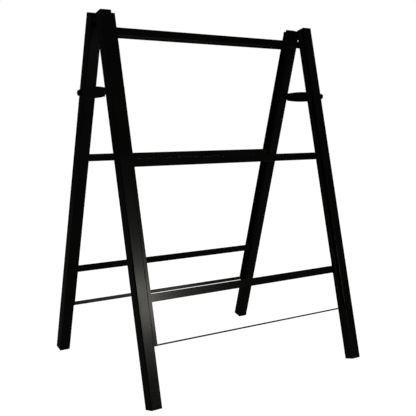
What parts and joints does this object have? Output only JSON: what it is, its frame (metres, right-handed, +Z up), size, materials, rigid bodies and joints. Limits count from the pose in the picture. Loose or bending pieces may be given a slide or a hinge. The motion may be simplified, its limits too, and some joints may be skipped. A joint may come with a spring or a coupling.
{
  "type": "folding sawhorse",
  "caption": "Folding steel A-frame trestle with flat-bar rails, board ledges with upright guide strips, hinged top and hooked locking links on the sides.",
  "frame": {"origin": "on the floor in the middle of the four feet, standing open", "axes": "+X across the frames from the left legs to the right legs, +Y from the front frame to the back frame, +Z up"},
  "size_m": [0.6916, 0.5576, 0.9323],
  "materials": {
    "frame_paint": "black powder coat, satin",
    "link_paint": "black powder coat, satin",
    "plug_plastic": "black polyethylene, matte",
    "washer_plastic": "black nylon",
    "fastener_black": "black oxide steel",
    "insert_steel": "zinc-plated steel"
  },
  "bodies": {
    "front_frame": {"front_board_ledge": "frame_paint", "front_left_board_guide": "frame_paint", "front_left_catch_insert": "insert_steel", "front_left_catch_screw": "fastener_black", "front_left_catch_washer": "washer_plastic", "front_left_foot_plug": "plug_plastic", "front_left_hinge_lug": "frame_paint", "front_left_leg": "frame_paint", "front_left_top_plug": "plug_plastic", "front_lower_rail": "frame_paint", "front_middle_rail": "frame_paint", "front_right_board_guide": "frame_paint", "front_right_foot_plug": "plug_plastic", "front_right_hinge_lug": "frame_paint", "front_right_leg": "frame_paint", "front_right_pivot_insert": "insert_steel", "front_right_pivot_screw": "fastener_black", "front_right_pivot_washer": "washer_plastic", "front_right_top_plug": "plug_plastic", "front_top_rail": "frame_paint", "left_hinge_bolt": "fastener_black", "left_hinge_nut": "fastener_black", "left_hinge_spacer": "washer_plastic", "left_hinge_washers": "fastener_black", "right_hinge_bolt": "fastener_black", "right_hinge_nut": "fastener_black", "right_hinge_spacer": "washer_plastic", "right_hinge_washers": "fastener_black"},
    "back_frame": {"back_board_ledge": "frame_paint", "back_left_board_guide": "frame_paint", "back_left_foot_plug": "plug_plastic", "back_left_hinge_lug": "frame_paint", "back_left_leg": "frame_paint", "back_left_pivot_insert": "insert_steel", "back_left_pivot_screw": "fastener_black", "back_left_pivot_washer": "washer_plastic", "back_left_top_plug": "plug_plastic", "back_lower_rail": "frame_paint", "back_middle_rail": "frame_paint", "back_right_board_guide": "frame_paint", "back_right_catch_insert": "insert_steel", "back_right_catch_screw": "fastener_black", "back_right_catch_washer": "washer_plastic", "back_right_foot_plug": "plug_plastic", "back_right_hinge_lug": "frame_paint", "back_right_leg": "frame_paint", "back_right_top_plug": "plug_plastic", "back_top_rail": "frame_paint"},
    "left_link": {"left_lock_link": "link_paint"},
    "right_link": {"right_lock_link": "link_paint"}
  },
  "joints": [
    {"name": "frame_fold", "type": "hinge", "parent": "front_frame", "child": "back_frame", "pos_m": [0, 0, 0.91054], "axis": [-1, 0, 0], "range_deg": [0, 29.12]},
    {"name": "left_link_lift", "type": "hinge", "parent": "back_frame", "child": "left_link", "pos_m": [-0.341, 0.07459, 0.73474], "axis": [-1, 0, 0], "range_deg": [0, 75.5]},
    {"name": "right_link_lift", "type": "hinge", "parent": "front_frame", "child": "right_link", "pos_m": [0.341, -0.07459, 0.73474], "axis": [1, 0, 0], "range_deg": [0, 75.5]}
  ],
  "couplings": [
    {"joint": "left_link_lift", "follows": "frame_fold", "ratio": 2.5907},
    {"joint": "right_link_lift", "follows": "frame_fold", "ratio": 2.5907}
  ]
}
